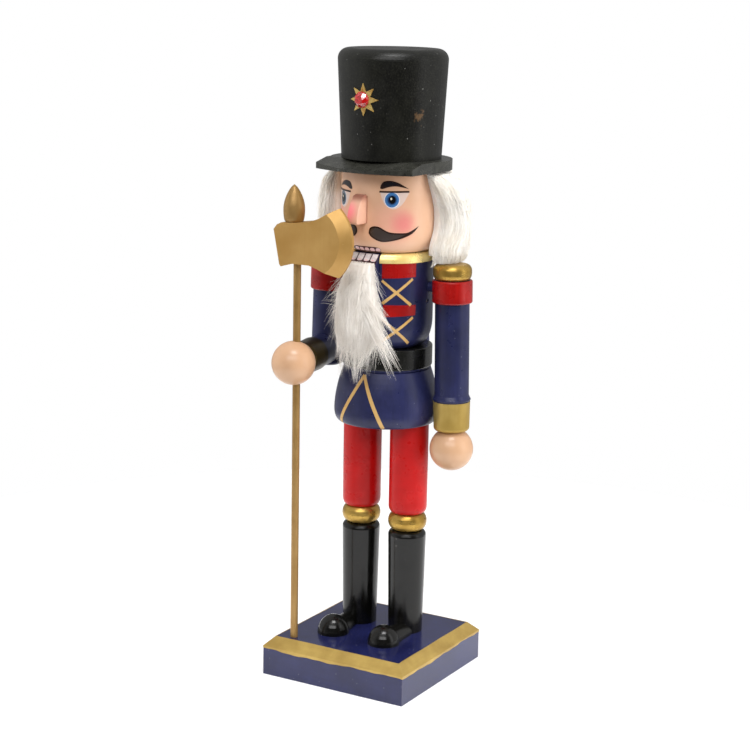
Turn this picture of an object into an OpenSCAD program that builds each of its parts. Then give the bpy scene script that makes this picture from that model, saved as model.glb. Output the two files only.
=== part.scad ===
// Wooden nutcracker soldier on a square plinth, with a lever-worked jaw and a swinging left arm.
// Millimetres, +Z up. The figure faces -Y, its own left hand is on the +X side.
// Origin: centre of the plinth's underside.

/* [Plinth] */
// Side length of the square plinth
plinth_w = 77.5; // [76:0.5:90]
// Thickness of the plinth
plinth_h = 18.8; // [17:0.1:22]
// Width of the sloped edge round the top of the plinth
plinth_chamfer = 4.4; // [2:0.1:6]

/* [Figure] */
// How far the figure stands behind the middle of the plinth
figure_y = 9; // [6:0.5:10]
// Distance between the middles of the two legs
leg_spacing = 26; // [24:0.5:28]
// Largest radius of a leg
leg_r = 9.3; // [8.5:0.1:9.5]
// Radius of the chest
chest_r = 21.2; // [20.6:0.1:21.4]
// Largest radius of the coat skirt
skirt_r = 25.2; // [24:0.1:25.4]
// Radius of the belt
belt_r = 21.5; // [21.3:0.1:22]
// Radius of the head
head_r = 23.3; // [22.5:0.1:23.6]
// How far the face is turned towards the staff, in degrees
head_turn = 2.8; // [0:0.2:6]

/* [Hat] */
// Radius of the crown of the hat where it meets the brim
crown_r = 23.5; // [22:0.1:24]
// Radius of the crown of the hat at its top
crown_top_r = 25.8; // [24:0.1:27]
// Radius of the round part of the brim
brim_r = 28.7; // [27:0.1:31]
// Thickness of the brim
brim_t = 4.9; // [4.5:0.1:6]

/* [Arms] */
// Distance of each arm's axis from the middle of the figure
arm_x = 33.2; // [33:0.1:34.5]
// Radius of the sleeves
sleeve_r = 8.15; // [7.8:0.05:8.4]
// Radius of the round hands
hand_r = 10.4; // [10:0.1:11]
// How far the arms lean outwards, in degrees
arm_lean = 1.3; // [1.2:0.1:1.8]

/* [Staff] */
// Sideways distance of the staff from the middle of the plinth
staff_x = 26.6; // [26:0.2:28]
// Distance of the staff in front of the middle of the plinth
staff_y = 30.2; // [29:0.2:31]
// Radius of the staff's rod
rod_r = 1.8; // [1.5:0.1:2]
// Thickness of the axe head
axe_t = 9; // [7:0.5:10]

/* [Jaw] */
// Width of the wooden jaw lever
jaw_w = 14.4; // [13:0.2:15]
// Gap between the lever and each wall of its slot
jaw_gap = 0.35; // [0.3:0.05:0.6]

/* [Hidden] */
$fn = 96;
e = 0.01; // overcut, so that cuts pass cleanly through a face

// Colours of the paints and woods
navy = [0.09, 0.10, 0.27];
red = [0.75, 0.06, 0.06];
gold = [0.72, 0.55, 0.20];
black = [0.06, 0.06, 0.055];
skin = [0.90, 0.70, 0.56];
wood = [0.80, 0.65, 0.45];
steel = [0.70, 0.70, 0.72];
fur = [0.93, 0.92, 0.88];

// Heights of the turned parts above the underside of the plinth
boot_top_z = 70.2;
ring_z = 70.4;
trouser_z = 79;
skirt_z = 123.6;
belt_z = 151.2;
chest_z = 161;
collar_z = 202.4;
neck_z = 206.8;
head_z = 207;
brim_z = 244.6;
crown_z = brim_z + brim_t;
top_z = 300;

dowel_r = 2.5;
spine_r = 5;
peg_play = 0.05;      // running clearance round the left shoulder peg and the jaw pin

// Arms: the peg is where the arm joins the body
arm_y = figure_y + 2;
peg_z = 190;
band_r = sleeve_r + 1.35;
epaulette_r = sleeve_r + 1;
cuff_r = sleeve_r + 0.65;
arm_top = 4.4;        // top of the sleeve above the peg
epaulette_h = 7.6;
band_h = 10.7;
cuff_top = -53.5;     // top of the left cuff below the peg
cuff_h = 14.3;
hand_seat = 9;        // from the middle of a hand to its flat seat
elbow_z = 154.6;

// Jaw
slot_w = jaw_w + 2 * jaw_gap;
jaw_x = -1.1;         // the jaw and its slot lie a little off the middle, as the nose does
pivot_y = figure_y;
pivot_z = 183.5;
pin_r = 1.2;
slot_floor_z = 169.8;
slot_roof_z = 195.5;
jaw_front_y = -15;
jaw_back_y = -2.5;

// Points of an arc about c from angle a0 to a1
function arc(c, r, a0, a1, n = 8) =
    [for (i = [0:n]) let (a = a0 + (a1 - a0) * i / n) [c[0] + r * cos(a), c[1] + r * sin(a)]];

// Points of a quarter-ellipse style arc with its own width and height
function oval(c, rx, ry, a0, a1, n = 10) =
    [for (i = [0:n]) let (a = a0 + (a1 - a0) * i / n) [c[0] + rx * cos(a), c[1] + ry * sin(a)]];

// A turned solid standing on the figure's axis
module turned(outline) {
    translate([0, figure_y, 0]) rotate_extrude() polygon(outline);
}

// A plain turned cylinder with both edges rounded
module rounded_rod(r, h, edge) {
    rotate_extrude() polygon(concat([[0, 0]], arc([r - edge, edge], edge, -90, 0, 4),
                                    arc([r - edge, h - edge], edge, 0, 90, 4), [[0, h]]));
}

// side is 1 for the figure's left, -1 for its right
function leg_at(side) = [side * leg_spacing / 2, figure_y, 0];

// ---------- plinth ----------

module plinth_section() {
    w = plinth_w / 2;
    c = plinth_chamfer;
    polygon([[-w, 0], [w, 0], [w, plinth_h - c], [w - c, plinth_h], [c - w, plinth_h], [-w, plinth_h - c]]);
}

screw_r = 1.7;
screw_head_r = 3.6;
screw_head_h = 2.6;
screw_recess = 2;     // depth of the screw heads above the underside
screw_l = 34;
socket_depth = 6;     // depth of the staff's socket

module screw_hole() {
    translate([0, 0, -e]) cylinder(r = screw_head_r + 0.2, h = screw_recess + screw_head_h + e);
    translate([0, 0, screw_recess]) cylinder(r = screw_r, h = plinth_h);
}

module plinth() {
    color(navy) difference() {
        intersection() {
            rotate([90, 0, 0]) linear_extrude(plinth_w, center = true) plinth_section();
            rotate([90, 0, 90]) linear_extrude(plinth_w, center = true) plinth_section();
        }
        for (side = [-1, 1]) translate(leg_at(side)) screw_hole();
        translate([-staff_x, -staff_y, plinth_h - socket_depth]) cylinder(r = rod_r, h = socket_depth + 1);
    }
}

module leg_screws() {
    color(steel) for (side = [-1, 1]) translate(leg_at(side)) translate([0, 0, screw_recess]) difference() {
        union() {
            cylinder(r = screw_head_r, h = screw_head_h);
            cylinder(r = screw_r, h = screw_l - screw_r);
            translate([0, 0, screw_l - screw_r]) cylinder(r1 = screw_r, r2 = 0.3, h = screw_r);
        }
        for (turn = [0, 90]) rotate(turn) translate([-2.2, -0.4, -e]) cube([4.4, 0.8, 1.4]);
    }
}

// ---------- legs ----------

boot_foot_r = leg_r - 1;
boot_top_r = leg_r - 0.1;
boot_lip = 2.6;       // height of the rounded top of the boot

module boot(side) {
    color(black) translate(leg_at(side)) difference() {
        rotate_extrude() polygon(concat(
            [[0, plinth_h], [boot_foot_r, plinth_h]],
            oval([boot_top_r - boot_lip, boot_top_z - boot_lip], boot_lip, boot_lip, 0, 90, 6),
            [[0, boot_top_z]]));
        translate([0, 0, plinth_h - e]) cylinder(r = screw_r, h = screw_l - plinth_h + screw_recess + e);
        translate([0, 0, boot_top_z - 14]) cylinder(r = dowel_r, h = 15);
    }
}

toe_x = 1.2;          // how far a toe is splayed outwards from its leg
toe_y = -14;
toe_r = 7.8;
toe_h = 9;

// A round toe with a neck that runs back to the boot
module toe(side) {
    root = leg_at(side);
    tip = [root[0] + side * toe_x, toe_y, plinth_h];
    neck_l = root[1] - toe_y;
    color(black) difference() {
        union() {
            translate(tip) rotate_extrude() polygon(concat([[0, 0]], oval([0, 0], toe_r, toe_h, 0, 90)));
            intersection() {
                translate(tip) rotate([-88, 0, -side * atan(toe_x / neck_l)])
                    cylinder(r1 = 6.4, r2 = 4.2, h = neck_l);
                translate([tip[0] - 20, tip[1] - 5, plinth_h]) cube([40, neck_l + 5, 20]);
            }
        }
        translate([root[0], root[1], plinth_h - 1])
            cylinder(r1 = boot_foot_r - (boot_top_r - boot_foot_r) / (boot_top_z - boot_lip - plinth_h),
                     r2 = boot_top_r, h = boot_top_z - boot_lip - plinth_h + 1);
    }
}

module knee_ring(side) {
    color(gold) translate(leg_at(side)) difference() {
        rotate_extrude() polygon(concat(
            [[0, ring_z]],
            oval([leg_r - 3, (ring_z + trouser_z) / 2], 3.1, (trouser_z - ring_z) / 2, -90, 90, 12),
            [[0, trouser_z]]));
        translate([0, 0, ring_z - 1]) cylinder(r = dowel_r, h = 12);
    }
}

module trouser(side) {
    color(red) translate(leg_at(side)) difference() {
        rotate_extrude() polygon(concat(
            [[0, trouser_z]], oval([leg_r - 2, trouser_z + 3.5], 2, 3.5, -90, 0, 6),
            [[leg_r, skirt_z], [0, skirt_z]]));
        translate([0, 0, trouser_z - 1]) cylinder(r = dowel_r, h = 13);
        translate([0, 0, skirt_z - 12]) cylinder(r = dowel_r, h = 13);
    }
}

module knee_dowels() {
    color(wood) for (side = [-1, 1])
        translate(leg_at(side) + [0, 0, boot_top_z - 13.5])
            cylinder(r = dowel_r, h = trouser_z - boot_top_z + 25);
}

module hip_dowels() {
    color(wood) for (side = [-1, 1])
        translate(leg_at(side) + [0, 0, skirt_z - 11.5]) cylinder(r = dowel_r, h = 22);
}

// ---------- body ----------

module coat_skirt() {
    hem_w = 2.4;
    hem_h = 5.5;
    waist_r = belt_r - 0.5;
    groove_z = belt_z - 1.4;
    flare_h = groove_z - skirt_z - hem_h;
    color(navy) difference() {
        turned(concat(
            [[0, skirt_z]],
            oval([skirt_r - hem_w, skirt_z + hem_h], hem_w, hem_h, -90, 0, 8),
            [for (i = [1:9]) let (t = i / 9)
                [skirt_r - (skirt_r - waist_r) * pow(t, 1.8), skirt_z + hem_h + flare_h * t]],
            // a thin groove under the belt
            [[waist_r - 0.7, groove_z + 0.4], [waist_r, groove_z + 0.8], [waist_r, belt_z], [0, belt_z]]));
        for (side = [-1, 1]) translate(leg_at(side) + [0, 0, skirt_z - 1]) cylinder(r = dowel_r, h = 12);
        translate([0, figure_y, belt_z - 15]) cylinder(r = spine_r, h = 16);
    }
}

module belt() {
    color(black) difference() {
        translate([0, figure_y, belt_z]) rounded_rod(belt_r, chest_z - belt_z, 0.6);
        translate([0, figure_y, belt_z - 1]) cylinder(r = spine_r, h = chest_z - belt_z + 2);
    }
}

module spine_dowel() {
    color(wood) translate([0, figure_y, belt_z - 14]) cylinder(r = spine_r, h = chest_z - belt_z + 20);
}

neck_r = 15.5;
neck_dowel_x = 11;

module chest() {
    waist_r = 15;
    color(navy) difference() {
        turned(concat(
            [[0, chest_z]],
            oval([waist_r, chest_z + 13], chest_r - waist_r, 13, -90, 0, 12),
            [[chest_r, collar_z], [neck_r, collar_z], [neck_r, neck_z], [0, neck_z]]));
        // slot for the jaw lever, open at the front and at the top there
        translate([jaw_x - slot_w / 2, figure_y - chest_r - 5, slot_floor_z])
            cube([slot_w, 2 * chest_r + 10, slot_roof_z - slot_floor_z]);
        translate([jaw_x - slot_w / 2, figure_y - chest_r - 5, slot_floor_z])
            cube([slot_w, chest_r + 5 - figure_y + jaw_back_y + 0.7, neck_z - slot_floor_z + 1]);
        translate([-chest_r - 5, pivot_y, pivot_z]) rotate([0, 90, 0])
            cylinder(r = pin_r, h = 2 * chest_r + 10);
        for (side = [-1, 1]) {
            translate([side * peg_in, arm_y, peg_z]) rotate([0, side * 90, 0])
                cylinder(r = dowel_r + (side == 1 ? peg_play : 0), h = chest_r);
            translate([side * neck_dowel_x, figure_y, neck_z - 10]) cylinder(r = dowel_r, h = 11);
        }
        translate([0, figure_y, chest_z - 1]) cylinder(r = spine_r, h = 7.2);
    }
}

module collar() {
    color(gold) difference() {
        turned(concat(
            [[neck_r, collar_z], [chest_r + 0.3, collar_z]],
            oval([chest_r - 2.2, collar_z + 0.4], 2.5, neck_z - collar_z - 0.4, 0, 90, 8),
            [[neck_r, neck_z]]));
        translate([jaw_x - slot_w / 2, figure_y - chest_r - 5, collar_z - 1])
            cube([slot_w, chest_r, 10]);
    }
}

module neck_dowels() {
    color(wood) for (side = [-1, 1])
        translate([side * neck_dowel_x, figure_y, neck_z - 9.5]) cylinder(r = dowel_r, h = 19);
}

// ---------- head and hat ----------

// Turns about the head's axis, so that the face looks a little towards the staff
module on_head() {
    translate([0, figure_y, 0]) rotate(-head_turn) children();
}

module head() {
    jaw_edge = 5;
    color(skin) difference() {
        turned(concat(
            [[0, head_z]],
            oval([head_r - jaw_edge, head_z + 9], jaw_edge, 9, -90, 0, 10),
            arc([head_r - 1.5, brim_z - 1.5], 1.5, 0, 90, 4),
            [[0, brim_z]]));
        for (side = [-1, 1])
            translate([side * neck_dowel_x, figure_y, head_z - 1]) cylinder(r = dowel_r, h = 11);
        translate([0, figure_y, brim_z - 12]) cylinder(r = spine_r, h = 13);
    }
}

nose_w = 5.8;
nose_x = -1.1;        // the nose is glued a little off the middle of the face
nose_top_z = 234;
nose_tip_z = 220.8;
nose_bridge = 1;      // how far its top stands out of the face
nose_reach = 7.8;     // how far its tip stands out of the face

module nose() {
    color(skin) difference() {
        on_head() translate([nose_x - nose_w / 2, 0, 0]) rotate([90, 0, 90]) linear_extrude(nose_w)
            polygon(concat(
                [[-head_r + 3, nose_top_z]],
                [for (i = [0:10]) let (t = i / 10)
                    [-head_r - nose_bridge - (nose_reach - nose_bridge) * pow(sin(85 * t), 0.8),
                     nose_top_z - (nose_top_z - nose_tip_z - 0.6) * t]],
                [[-head_r - nose_reach + 0.8, nose_tip_z], [-head_r + 3, nose_tip_z]]));
        translate([0, figure_y, nose_tip_z - 2]) cylinder(r = head_r, h = 20);
    }
}

hair_z = 206;
hair_gap = 75;        // angle from the front at which the hair begins on each side

// Fur glued round the sides and back of the head
module hair() {
    back_shift = 3.5;
    curl_r = 8.6;     // how far the fur stands out beyond its middle
    full_z = hair_z + 12;
    color(fur) difference() {
        translate([0, figure_y + back_shift, 0]) rotate([0, 0, hair_gap - 90])
            rotate_extrude(angle = 360 - 2 * hair_gap) polygon(concat(
                [[head_r - 6, hair_z]],
                oval([head_r + 4, full_z], curl_r, full_z - hair_z, -80, 0, 8),
                oval([head_r + 4, full_z], curl_r, brim_z - 0.4 - full_z, 0, 90, 8),
                [[head_r - 6, brim_z - 0.4]]));
        translate([0, figure_y, hair_z - 1]) cylinder(r = head_r, h = 45);
    }
}

visor_x = 26.5;       // half width of the straight-sided front of the brim
visor_shift = 1.3;    // how far its middle lies to the figure's left
visor_y = 25.6;       // how far its corners stand in front of the figure's axis
visor_bulge = 6.2;    // how far its curved edge stands out between the corners
bevel_y = 17;         // where its sloping top begins
visor_edge = 1.4;     // thickness left at the front edge

module brim_outline() {
    edge_r = (visor_x * visor_x + visor_bulge * visor_bulge) / (2 * visor_bulge);
    circle(r = brim_r);
    translate([visor_shift, 0]) intersection() {
        translate([-visor_x, -visor_y - visor_bulge - 1]) square([2 * visor_x, visor_y + visor_bulge + 1]);
        translate([0, -visor_y - visor_bulge + edge_r]) circle(r = edge_r, $fn = 200);
    }
}

module hat_brim() {
    drop = brim_t - visor_edge;
    run = visor_y + visor_bulge - bevel_y;
    color(black) difference() {
        on_head() translate([0, 0, brim_z]) difference() {
            linear_extrude(brim_t) brim_outline();
            // the sloping cut across the front
            rotate([90, 0, 90]) linear_extrude(120, center = true)
                polygon([[-bevel_y, brim_t], [-bevel_y, brim_t + 10], [-bevel_y - 3 * run, brim_t + 10],
                         [-bevel_y - 3 * run, brim_t - 3 * drop], [-bevel_y - run, brim_t - drop]]);
        }
        translate([0, figure_y, brim_z - 1]) cylinder(r = spine_r, h = brim_t + 2);
    }
}

crown_edge = 5;

module hat_crown() {
    color(black) difference() {
        turned(concat(
            [[0, crown_z], [crown_r, crown_z]],
            arc([crown_top_r - crown_edge, top_z - crown_edge], crown_edge, 0, 90, 10),
            [[0, top_z]]));
        translate([0, figure_y, crown_z - 1]) cylinder(r = spine_r, h = 13);
    }
}

module hat_dowel() {
    color(wood) translate([0, figure_y, brim_z - 11.5]) cylinder(r = spine_r, h = brim_t + 23);
}

badge_z = 277.4;
badge_r = 7.4;
badge_t = 0.5;
star_points = 8;
gem_r = 3.7;
gem_x = -0.3;
star_x = 0.3;

// Radius of the crown's side at a height
function crown_side(z) = crown_r + (crown_top_r - crown_r) * (z - crown_z) / (top_z - crown_edge - crown_z);

// The flat seat of the stone, sunk a little into the star
module on_gem_seat() {
    sunk = 0.15;
    translate([gem_x, sunk - badge_t - crown_side(badge_z), badge_z]) rotate([90, 0, 0]) children();
}

module hat_star() {
    waist = 0.52;
    low = badge_z - badge_r - 1;
    tall = 2 * badge_r + 2;
    color(gold) on_head() difference() {
        intersection() {
            translate([star_x, 0, badge_z]) rotate([90, 0, 0]) linear_extrude(40) polygon(
                [for (i = [0:2 * star_points - 1])
                    let (r = badge_r * (i % 2 == 0 ? 1 : waist), a = 90 + i * 180 / star_points)
                        [r * cos(a), r * sin(a)]]);
            translate([0, 0, low]) difference() {
                cylinder(r1 = crown_side(low) + badge_t, r2 = crown_side(low + tall) + badge_t, h = tall);
                translate([0, 0, -e])
                    cylinder(r1 = crown_side(low - e), r2 = crown_side(low + tall + e), h = tall + 2 * e);
            }
        }
        on_gem_seat() cylinder(r = gem_r + 0.05, h = 5);
    }
}

// A round cut-glass stone: a low cone with a flat table
module hat_gem() {
    girdle = 1.2;
    color("crimson") on_head() on_gem_seat() {
        cylinder(r = gem_r, h = girdle, $fn = 12);
        translate([0, 0, girdle]) cylinder(r1 = gem_r, r2 = gem_r * 0.55, h = 1.5, $fn = 12);
    }
}

// ---------- jaw ----------

module jaw_pin() {
    half = chest_r - 0.6;
    color(steel) translate([-half, pivot_y, pivot_z]) rotate([0, 90, 0]) cylinder(r = pin_r, h = 2 * half);
}

handle_t = 6.6;
handle_tip = [38.7, 128];

// Side outline: jaw at the front, arm through the chest, handle down the back
module lever_outline() {
    lip = 4.3;        // size of the sloping face that carries the teeth
    jaw_top = neck_z - 0.3;
    polygon(concat(
        [[jaw_front_y, 180], [jaw_front_y, jaw_top - lip]],
        [[jaw_front_y + lip, jaw_top], [jaw_back_y, jaw_top]],
        arc([jaw_back_y + 4, 195], 4, 180, 262, 5),
        arc([33, 182.2], 4, 75, 0, 5),
        arc([handle_tip[0] + 0.1, handle_tip[1] + 3], handle_t / 2, 8, -172, 10),
        arc([27.6, 176.6], 2.6, 0, -80, 4),
        [[-3, 177], [jaw_front_y + 1.5, 178.5]]));
}

module jaw_lever() {
    color(navy) difference() {
        translate([jaw_x - jaw_w / 2, 0, 0]) rotate([90, 0, 90]) linear_extrude(jaw_w) lever_outline();
        translate([-jaw_w, pivot_y, pivot_z]) rotate([0, 90, 0])
            cylinder(r = pin_r + peg_play, h = 2 * jaw_w);
    }
}

// Fur glued to the front of the jaw
module beard() {
    color(fur) translate([jaw_x, jaw_front_y, 0]) hull() {
        translate([0, -3, 199.5]) scale([1, 0.36, 0.3]) sphere(r = 7, $fn = 32);
        translate([0, -4.6, 186]) scale([1, 0.42, 0.7]) sphere(r = 9.8, $fn = 32);
        translate([0.5, -5.6, 166]) scale([1, 0.4, 0.9]) sphere(r = 11.8, $fn = 32);
        translate([1, -5.2, 152]) scale([1, 0.32, 0.5]) sphere(r = 12.5, $fn = 32);
    }
}

// ---------- arms ----------

peg_in = 10.2;        // where a shoulder peg ends inside the chest

// Sideways distance of an arm at its peg: the bent arm sits a little further out
function arm_out(side) = arm_x + (side == 1 ? 0 : 0.7);

// Places its children at a shoulder peg, leaning as the arm leans
module on_shoulder(side) {
    translate([side * arm_out(side), arm_y, peg_z]) rotate([0, -side * arm_lean, 0]) children();
}

module shoulder_peg(side) {
    color(wood) translate([side * (peg_in + 0.5), arm_y, peg_z]) rotate([0, side * 90, 0])
        cylinder(r = dowel_r, h = arm_out(side) - peg_in - 0.5);
}

module peg_hole(side) {
    translate([side * arm_out(side), arm_y, peg_z]) rotate([0, -side * 90, 0])
        cylinder(r = dowel_r, h = 20);
}

module sleeve_left() {
    rim = 0.9;
    color(navy) difference() {
        on_shoulder(1) difference() {
            rotate_extrude() polygon(concat(
                [[0, cuff_top], [sleeve_r + rim - 0.5, cuff_top]],
                arc([sleeve_r + rim - 0.7, cuff_top + 1.1], 0.7, -60, 60, 4),
                [[sleeve_r, cuff_top + 3.2], [sleeve_r, arm_top], [0, arm_top]]));
            translate([0, 0, cuff_top - 1]) cylinder(r = dowel_r, h = 11);
        }
        peg_hole(1);
    }
}

module shoulder_band(side) {
    edge = 0.7;
    color(red) difference() {
        on_shoulder(side) rotate_extrude() polygon(concat(
            [[sleeve_r, arm_top - band_h]],
            arc([band_r - edge, arm_top - band_h + edge], edge, -90, 0, 3),
            arc([band_r - edge, arm_top - edge], edge, 0, 90, 3),
            [[sleeve_r, arm_top]]));
        peg_hole(side);
    }
}

module epaulette(side) {
    color(gold) on_shoulder(side) translate([0, 0, arm_top]) rotate_extrude() polygon(concat(
        [[0, 0]],
        oval([epaulette_r - 2, 3.4], 2, 3.4, -70, 0, 5),
        arc([epaulette_r - 3, epaulette_h - 3], 3, 0, 80, 6),
        [[0, epaulette_h + 0.2]]));
}

// A cuff that stands on its wide end at z 0 and is rounded at the wrist, h above
module cuff_solid(r) {
    edge = 1.8;
    difference() {
        rotate_extrude() polygon(concat(
            [[0, 0], [r, 0]],
            arc([r - edge - 0.3, cuff_h - edge], edge, 0, 90, 5),
            [[0, cuff_h]]));
        translate([0, 0, -1]) cylinder(r = dowel_r, h = cuff_h + 2);
    }
}

// A wooden ball with a flat seat for the cuff, the seat facing down
module hand_solid() {
    difference() {
        intersection() {
            sphere(r = hand_r);
            translate([0, 0, -hand_seat + 50]) cube(100, center = true);
        }
        translate([0, 0, -hand_seat - 1]) cylinder(r = dowel_r, h = 7);
    }
}

module cuff_left() {
    color(gold) on_shoulder(1) translate([0, 0, cuff_top]) rotate([180, 0, 0]) cuff_solid(cuff_r);
}

module hand_left() {
    color(skin) on_shoulder(1) translate([0, 0, cuff_top - cuff_h - hand_seat])
        rotate([180, 0, 0]) hand_solid();
}

module wrist_dowel_left() {
    color(wood) on_shoulder(1) translate([0, 0, cuff_top - cuff_h - 5.8])
        cylinder(r = dowel_r, h = cuff_h + 15);
}

// The bent right arm: z of the forearm runs from the elbow to the hand
elbow_x = arm_out(-1) + (peg_z - elbow_z) * tan(arm_lean);
hand_out = 0.9;       // the staff is drilled through the hand this far inside its middle
hand_ahead = 1.2;     // and this far behind its middle
forearm_dx = elbow_x - staff_x - hand_out;
forearm_dy = arm_y + staff_y + hand_ahead;
forearm_l = norm([forearm_dx, forearm_dy]);
forearm_turn = atan(forearm_dx / forearm_dy);

module on_elbow() {
    translate([-elbow_x, arm_y, elbow_z]) rotate([0, 0, forearm_turn]) rotate([90, 0, 0]) children();
}

module sleeve_right() {
    edge = 3;
    bottom = elbow_z - peg_z - sleeve_r;
    color(navy) difference() {
        on_shoulder(-1) rotate_extrude() polygon(concat(
            [[0, bottom]], arc([sleeve_r - edge, bottom + edge], edge, -90, 0, 6),
            [[sleeve_r, arm_top], [0, arm_top]]));
        peg_hole(-1);
        on_elbow() translate([0, 0, 2]) cylinder(r = dowel_r, h = 12);
    }
}

cuff_right_at = forearm_l - hand_seat - cuff_h;
forearm_r = sleeve_r - 0.5;

module forearm_right() {
    color(navy) difference() {
        on_elbow() difference() {
            translate([0, 0, 2]) cylinder(r = forearm_r, h = cuff_right_at - 2);
            translate([0, 0, -1]) cylinder(r = dowel_r, h = cuff_right_at + 2);
        }
        on_shoulder(-1) translate([0, 0, -60]) cylinder(r = sleeve_r, h = 60);
    }
}

module elbow_dowel_right() {
    color(wood) on_elbow() translate([0, 0, 2.5]) cylinder(r = dowel_r, h = cuff_right_at - 3);
}

module cuff_right() {
    color(gold) on_elbow() translate([0, 0, cuff_right_at]) cuff_solid(forearm_r + 0.5);
}

module wrist_dowel_right() {
    color(wood) on_elbow() translate([0, 0, cuff_right_at]) cylinder(r = dowel_r, h = cuff_h + 5);
}

module hand_right() {
    color(skin) difference() {
        on_elbow() translate([0, 0, forearm_l]) hand_solid();
        translate([-staff_x, -staff_y, elbow_z - 20]) cylinder(r = rod_r, h = 40);
    }
}

// ---------- staff ----------

axe_z = 213;          // height of the middle of the cutting edge
axe_edge_r = 21.3;    // radius of the cutting edge
axe_edge_x = 8.7;     // its centre, sideways from the rod
finial_x = -2;        // the finial is glued on a little off the rod's axis
finial_z = 221;
finial_r = 5.05;
finial_h = 17.3;
rod_top_z = 214;
tenon_r = 1.2;
tenon_l = 4.5;

module staff_rod() {
    color(gold) translate([-staff_x, -staff_y, plinth_h - socket_depth + 0.2])
        cylinder(r = rod_r, h = rod_top_z - 0.4 - plinth_h + socket_depth);
}

// Side view of the axe: poll on the left, cutting edge on the right, rod at x 0
module axe_outline() {
    polygon(concat(
        [[-10.4, 217.4], [-8.6, 219.6], [-6.4, 220.7], [1, 221], [9, 222.1], [14, 224]],
        arc([axe_edge_x, axe_z], axe_edge_r, 48.5, -48.5, 14),
        [[14, 200.5], [9, 202], [0, 202], [-4.5, 200.9], [-6.3, 200.2], [-7.2, 201.2]]));
}

module axe_head() {
    bevel = 5;
    edge_t = 1.6;
    flat_r = axe_edge_r - bevel;
    color(gold) translate([-staff_x, -staff_y, 0]) difference() {
        intersection() {
            rotate([90, 0, 0]) linear_extrude(axe_t, center = true) axe_outline();
            union() {
                // a disc whose rim slopes to the cutting edge on both faces
                translate([axe_edge_x, 0, axe_z]) rotate([90, 0, 0]) rotate_extrude() polygon([
                    [0, -axe_t / 2], [flat_r, -axe_t / 2], [axe_edge_r, -edge_t / 2],
                    [axe_edge_r, edge_t / 2], [flat_r, axe_t / 2], [0, axe_t / 2]]);
                translate([-20, -axe_t / 2, axe_z - 20]) cube([24, axe_t, 40]);
            }
        }
        translate([0, 0, axe_z - 20]) cylinder(r = rod_r, h = rod_top_z - axe_z + 20);
        translate([finial_x, 0, finial_z - tenon_l - 0.3]) cylinder(r = tenon_r, h = 20);
    }
}

module staff_finial() {
    base = 4.5;
    belly = 0.3;      // how far up its widest part lies
    color(gold) translate([finial_x - staff_x, -staff_y, finial_z]) {
        rotate_extrude() polygon(concat(
            [[0, 0], [base - 0.5, 0], [base, 0.6]],
            [for (i = [1:14]) let (t = i / 14)
                [finial_r * pow(cos(90 * max(0, t - belly) / (1 - belly)), 0.72)
                    * (1 - 0.1 * pow(max(0, 1 - t / belly), 2)),
                 0.6 + (finial_h - 0.6) * t]]));
        translate([0, 0, -tenon_l]) cylinder(r = tenon_r, h = tenon_l + e);
    }
}

// ---------- nodes ----------

plinth();
leg_screws();
boot(1);  // boot_left
boot(-1);  // boot_right
toe(1);  // toe_left
toe(-1);  // toe_right
knee_ring(1);  // knee_ring_left
knee_ring(-1);  // knee_ring_right
trouser(1);  // trouser_left
trouser(-1);  // trouser_right
knee_dowels();
hip_dowels();
coat_skirt();
belt();
chest();
collar();
spine_dowel();
neck_dowels();
head();
nose();
hair();
hat_brim();
hat_crown();
hat_dowel();
hat_star();
hat_gem();
jaw_pin();
jaw_lever();
beard();
shoulder_peg(1);  // shoulder_peg_left
sleeve_left();
shoulder_band(1);  // shoulder_band_left
epaulette(1);  // epaulette_left
cuff_left();
hand_left();
wrist_dowel_left();
shoulder_peg(-1);  // shoulder_peg_right
sleeve_right();
shoulder_band(-1);  // shoulder_band_right
epaulette(-1);  // epaulette_right
forearm_right();
cuff_right();
hand_right();
wrist_dowel_right();
elbow_dowel_right();
staff_rod();
axe_head();
staff_finial();
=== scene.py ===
"""The looks of a painted wooden nutcracker soldier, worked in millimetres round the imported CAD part."""
import math

import bmesh
import bpy
import numpy as np
from mathutils import Matrix, Vector
from mathutils.bvhtree import BVHTree
from mathutils.geometry import delaunay_2d_cdt, interpolate_bezier, intersect_point_line


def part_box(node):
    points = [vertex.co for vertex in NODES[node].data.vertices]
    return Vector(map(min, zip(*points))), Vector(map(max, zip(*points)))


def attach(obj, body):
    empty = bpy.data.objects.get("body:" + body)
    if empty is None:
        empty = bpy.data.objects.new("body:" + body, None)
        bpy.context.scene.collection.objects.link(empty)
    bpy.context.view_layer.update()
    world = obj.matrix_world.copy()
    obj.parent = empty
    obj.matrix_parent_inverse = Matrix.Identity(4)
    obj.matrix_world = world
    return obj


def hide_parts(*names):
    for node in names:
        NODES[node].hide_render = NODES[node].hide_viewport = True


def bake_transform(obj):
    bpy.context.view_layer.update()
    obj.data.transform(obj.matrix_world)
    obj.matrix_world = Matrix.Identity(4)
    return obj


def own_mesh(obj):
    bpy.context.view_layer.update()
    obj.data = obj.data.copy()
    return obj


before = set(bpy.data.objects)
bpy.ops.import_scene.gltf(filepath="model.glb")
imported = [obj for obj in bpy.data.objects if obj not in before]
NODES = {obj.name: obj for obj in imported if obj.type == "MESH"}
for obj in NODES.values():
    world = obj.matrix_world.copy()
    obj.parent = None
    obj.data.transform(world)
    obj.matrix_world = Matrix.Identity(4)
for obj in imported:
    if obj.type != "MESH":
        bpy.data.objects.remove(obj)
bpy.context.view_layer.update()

MM = 0.001


def corners(node):
    """The lowest and highest corner of a CAD node, in millimetres."""
    low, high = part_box(node)
    return Vector(low) / MM, Vector(high) / MM


BELT_LOW, BELT_HIGH = corners("belt")
JAW_LOW, JAW_HIGH = corners("jaw_lever")
PLINTH_HIGH = corners("plinth")[1]

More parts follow.
